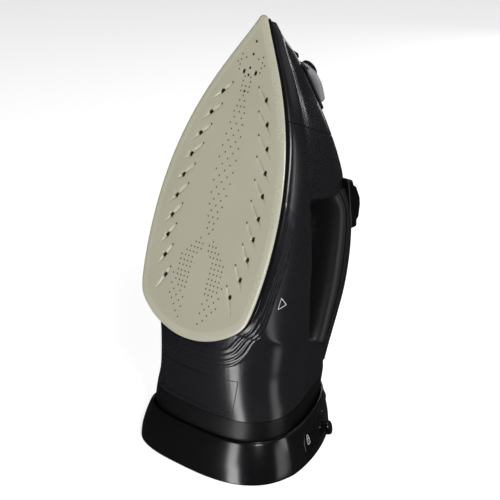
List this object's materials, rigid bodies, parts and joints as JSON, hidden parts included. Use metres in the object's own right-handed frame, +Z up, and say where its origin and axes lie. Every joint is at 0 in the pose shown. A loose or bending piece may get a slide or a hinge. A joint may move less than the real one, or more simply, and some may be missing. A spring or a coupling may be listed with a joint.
{
  "type": "clothes iron",
  "caption": "Steam iron parked upright on its heel in a powered dock, with lift-off iron, turning dial, thumb keys, flip-up filler door and a sliding dock lock.",
  "frame": {"origin": "centre of the dock's flat base face, under the middle of the dock's width and within its plan", "axes": "+Z up, X across the iron, about which plane the housings are symmetric, soleplate facing -Y and handle towards +Y"},
  "size_m": [0.1284, 0.1631, 0.2929],
  "materials": {
    "ceramic_sole": "satin ceramic coating on a pressed steel plate",
    "black_gasket": "matte heat-proof seal",
    "aluminium": "cast and pressed, plain",
    "steel": "plain",
    "brass": "plain",
    "body_plastic": "dark grey, semi-gloss",
    "handle_plastic": "black, satin",
    "matte_black": "fine matte",
    "gloss_black": "high gloss",
    "grey_door": "smoke grey, gloss",
    "white_plastic": "natural moulded",
    "clear_tank": "clear moulded",
    "wire_red": "silicone sleeve",
    "dock_plastic": "black, gloss",
    "foot_rubber": "non-slip"
  },
  "bodies": {
    "dock": {"dock_shell": "dock_plastic", "dock_base_plate": "matte_black", "dock_tray": "matte_black", "contact_block": "white_plastic", "contact_pins": "brass", "dock_feet": "foot_rubber", "dock_screws": "steel", "cord_gland": "matte_black", "lock_panel": "gloss_black", "mains_terminal": "white_plastic"},
    "iron": {"soleplate": "ceramic_sole", "sole_gasket": "black_gasket", "heater_casting": "aluminium", "heating_element": "steel", "steam_chamber_lid": "aluminium", "thermostat": "brass", "thermal_fuse": "steel", "body_shell": "body_plastic", "nose_shell": "body_plastic", "heel_band": "matte_black", "heel_plate": "matte_black", "handle_top": "handle_plastic", "handle_underside": "handle_plastic", "key_pod": "gloss_black", "steam_pump": "white_plastic", "spray_pump": "white_plastic", "water_tank": "clear_tank", "drip_valve": "white_plastic", "spray_nozzle": "gloss_black", "spray_tube": "white_plastic", "filler_bezel": "gloss_black", "door_hinge_pin": "steel", "heel_socket_block": "white_plastic", "heel_sockets": "brass", "wire_harness": "wire_red", "sole_screws": "steel", "handle_screws": "steel", "latch_keeper": "steel", "rating_panel": "body_plastic", "steam_spring": "steel", "spray_spring": "steel"},
    "filler_door": {"filler_door": "grey_door", "door_seal": "black_gasket"},
    "temperature_dial": {"temperature_dial": "matte_black", "dial_spindle": "brass"},
    "steam_key": {"steam_key": "gloss_black", "steam_plunger": "white_plastic"},
    "spray_key": {"spray_key": "gloss_black", "spray_plunger": "white_plastic"},
    "lock_slider": {"lock_slider": "matte_black", "lock_bar": "steel"}
  },
  "joints": [
    {"name": "iron_lift", "type": "slide", "parent": "dock", "child": "iron", "axis": [0, 0, 1], "range_m": [0, 0.1]},
    {"name": "door_hinge", "type": "hinge", "parent": "iron", "child": "filler_door", "pos_m": [0, 0.04582, 0.2541], "axis": [1, 0, 0], "range_deg": [0, 55]},
    {"name": "dial_turn", "type": "hinge", "parent": "iron", "child": "temperature_dial", "pos_m": [0, 0.03311, 0.14549], "axis": [0, 0.9397, -0.342], "range_deg": [0, 270]},
    {"name": "steam_press", "type": "slide", "parent": "iron", "child": "steam_key", "axis": [0, -0.9397, 0.342], "range_m": [0, 0.003], "stiffness_N_per_m": 800, "springref_m": -0.002, "deforming": ["steam_spring"]},
    {"name": "spray_press", "type": "slide", "parent": "iron", "child": "spray_key", "axis": [0, -0.9397, 0.342], "range_m": [0, 0.003], "stiffness_N_per_m": 800, "springref_m": -0.002, "deforming": ["spray_spring"]},
    {"name": "lock_slide", "type": "slide", "parent": "dock", "child": "lock_slider", "axis": [0.4617, -0.887, 0], "range_m": [0, 0.008]}
  ]
}
